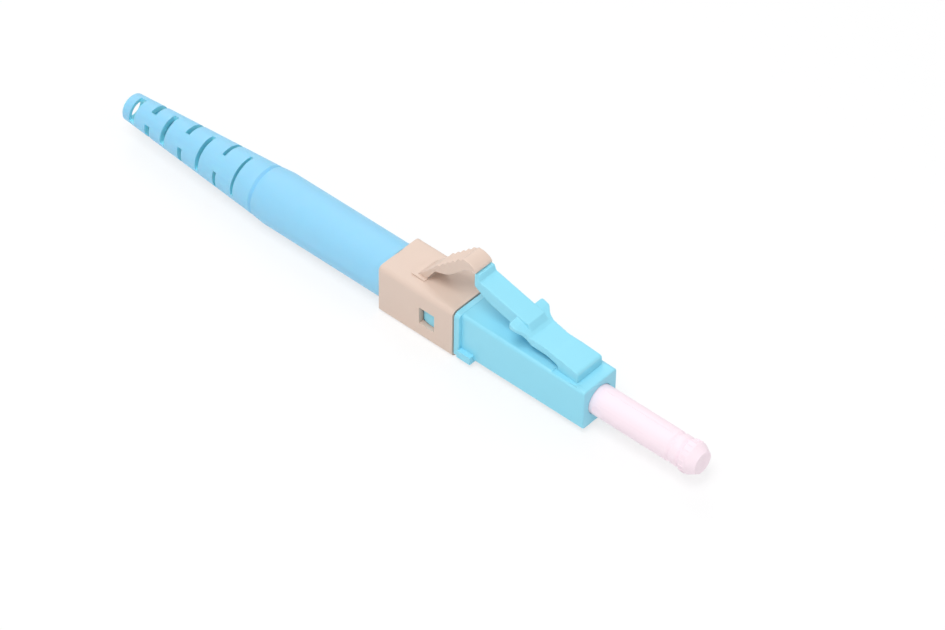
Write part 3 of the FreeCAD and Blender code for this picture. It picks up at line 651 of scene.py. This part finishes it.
def background_rays(tree):
    """One for the rays that show the background: seen, mirrored or let through."""
    path = tree.nodes.new("ShaderNodeLightPath")
    total = path.outputs["Is Camera Ray"]
    for name in ("Is Glossy Ray", "Is Transmission Ray"):
        total = number(tree, "MAXIMUM", total, path.outputs[name])
    return total


def floor_paper():
    """Pale paper that takes the shadows, and looks nearly white to the camera."""
    pale = bpy.data.materials.new("floor_paper")
    pale.use_nodes = True
    tree = pale.node_tree
    shader = tree.nodes["Principled BSDF"]
    shader.inputs["Base Color"].default_value = FLOOR_COLOUR
    shader.inputs["Roughness"].default_value = FLOOR_ROUGHNESS
    shader.inputs["Specular IOR Level"].default_value = FLOOR_SPECULAR
    light = tree.nodes.new("ShaderNodeEmission")
    light.inputs["Color"].default_value = WHITE
    mix = tree.nodes.new("ShaderNodeMixShader")
    share = number(tree, "MULTIPLY", background_rays(tree), FLOOR_GLOW)
    for socket, source in zip(mix.inputs, (share, shader.outputs[0], light.outputs[0])):
        tree.links.new(source, socket)
    tree.links.new(mix.outputs[0], tree.nodes["Material Output"].inputs["Surface"])
    return pale


def lay_floor(scene):
    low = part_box("rear_clip")[0]
    floor_mesh = bpy.data.meshes.new("floor")
    work = bmesh.new()
    bmesh.ops.create_grid(work, x_segments=1, y_segments=1, size=FLOOR_SIZE)
    bmesh.ops.translate(work, verts=work.verts, vec=(0.0, 0.0, low[2] - FLOOR_DROP * MM))
    work.to_mesh(floor_mesh)
    work.free()
    floor = bpy.data.objects.new("floor", floor_mesh)
    scene.collection.objects.link(floor)
    wear(floor, floor_paper())


def light_room(scene):
    """A pale room that lights the plug at half the strength it is seen at, and the lamps."""
    world = bpy.data.worlds.new("pale_room")
    world.use_nodes = True
    tree = world.node_tree
    sky = tree.nodes["Background"]
    sky.inputs["Color"].default_value = WHITE
    level = tree.nodes.new("ShaderNodeMapRange")
    level.inputs["To Min"].default_value = ROOM_LIGHT
    level.inputs["To Max"].default_value = ROOM_SEEN
    tree.links.new(background_rays(tree), level.inputs["Value"])
    tree.links.new(level.outputs["Result"], sky.inputs["Strength"])
    scene.world = world

    for name, place, size, power in LAMPS:
        data = bpy.data.lights.new(name, "AREA")
        data.shape = "DISK"
        data.size = size
        data.energy = power
        lamp = bpy.data.objects.new(name, data)
        lamp.location = place
        way = Vector(LAMP_TARGET) - Vector(place)
        lamp.rotation_euler = way.to_track_quat("-Z", "Y").to_euler()
        scene.collection.objects.link(lamp)


def place_camera(scene):
    data = bpy.data.cameras.new("camera")
    data.sensor_fit = "HORIZONTAL"
    data.sensor_width = SENSOR_WIDTH
    data.lens = FOCAL_LENGTHS * data.sensor_width
    data.clip_start = CLIP_NEAR
    data.clip_end = CLIP_FAR
    camera = bpy.data.objects.new("camera", data)
    right, down, ahead = (Vector(row) for row in CAMERA_ROWS)
    camera.matrix_world = Matrix.Translation(CAMERA_PLACE) @ Matrix(
        (right, -down, -ahead)).transposed().to_4x4()
    scene.collection.objects.link(camera)
    scene.camera = camera


class PLUG_OT_stage(bpy.types.Operator):
    """Pale floor, soft lamps and the camera"""

    bl_idname = "plug.stage"
    bl_label = "Stage"

    def execute(self, context):
        scene = context.scene
        lay_floor(scene)
        light_room(scene)
        place_camera(scene)
        scene.view_settings.view_transform = "Standard"
        return {"FINISHED"}


# ---------------------------------------------------------------- panel and run

class PLUG_PT_panel(bpy.types.Panel):
    """Sizes, colours and makers of the plug's pieces"""

    bl_label = "Fibre plug"
    bl_idname = "PLUG_PT_panel"
    bl_space_type = "VIEW_3D"
    bl_region_type = "UI"
    bl_category = "Fibre plug"

    def draw(self, context):
        for group in (context.scene.plug_sizes, context.scene.plug_colours):
            for name in group.__annotations__:
                self.layout.prop(group, name)
        for maker in MAKERS:
            self.layout.operator(maker.bl_idname)


MAKERS = (PLUG_OT_stage, PLUG_OT_nose, PLUG_OT_clip, PLUG_OT_boot, PLUG_OT_cap,
          PLUG_OT_inside)
CLASSES = (PlugSizes, PlugColours, PLUG_PT_panel) + MAKERS


def register():
    for kind in CLASSES:
        bpy.utils.register_class(kind)
    bpy.types.Scene.plug_sizes = bpy.props.PointerProperty(type=PlugSizes)
    bpy.types.Scene.plug_colours = bpy.props.PointerProperty(type=PlugColours)


def unregister():
    del bpy.types.Scene.plug_colours
    del bpy.types.Scene.plug_sizes
    for kind in reversed(CLASSES):
        bpy.utils.unregister_class(kind)


def main():
    register()
    for maker in MAKERS:
        group, name = maker.bl_idname.split(".")
        getattr(getattr(bpy.ops, group), name)()
    bpy.context.view_layer.update()


if __name__ == "__main__":
    main()
